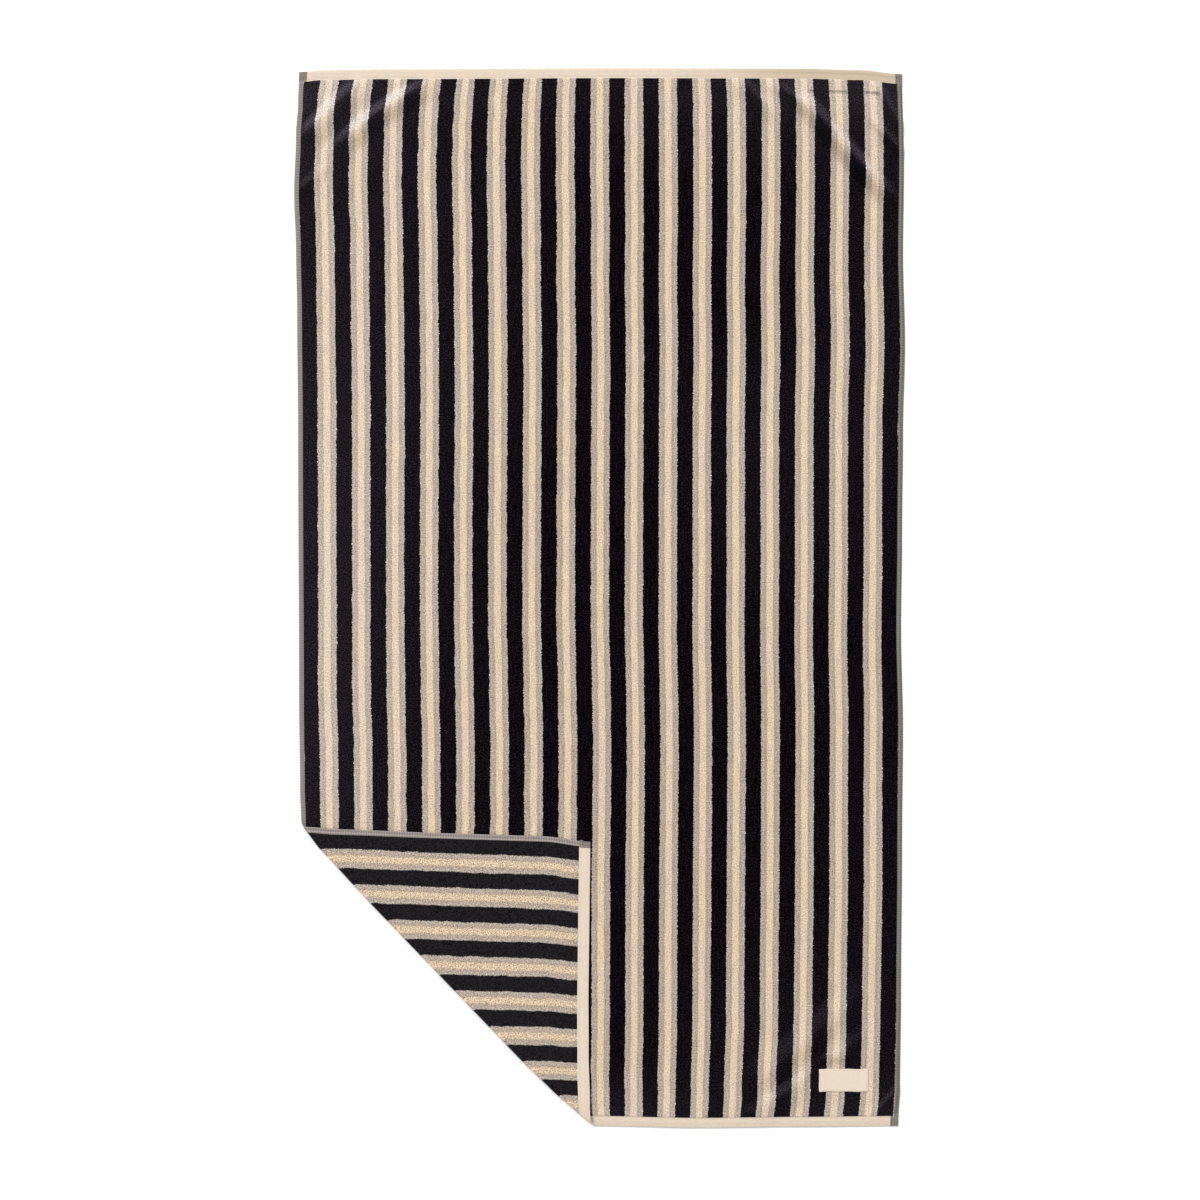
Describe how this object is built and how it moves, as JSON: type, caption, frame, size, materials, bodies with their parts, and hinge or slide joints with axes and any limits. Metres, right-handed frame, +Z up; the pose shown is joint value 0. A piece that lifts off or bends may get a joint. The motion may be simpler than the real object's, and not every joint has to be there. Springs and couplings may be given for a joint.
{
  "type": "beach towel",
  "caption": "Oversized terry beach towel lying flat, pile side up, with lengthwise stripes, plain hems, a corner folded over to show the looped reverse and a bare sewn-on label.",
  "frame": {"origin": "middle of the outline, on the surface that the towel lies on", "axes": "+Y along the towel's length, away from the folded corner; +X across its width; +Z up out of the pile"},
  "size_m": [1.0114, 1.7548, 0.012],
  "materials": {
    "terry": "sheared cotton pile, striped black, grey and ecru, looped on the reverse",
    "label": "ecru woven tape"
  },
  "bodies": {
    "root": {"towel": "terry", "label": "label"}
  },
  "joints": []
}
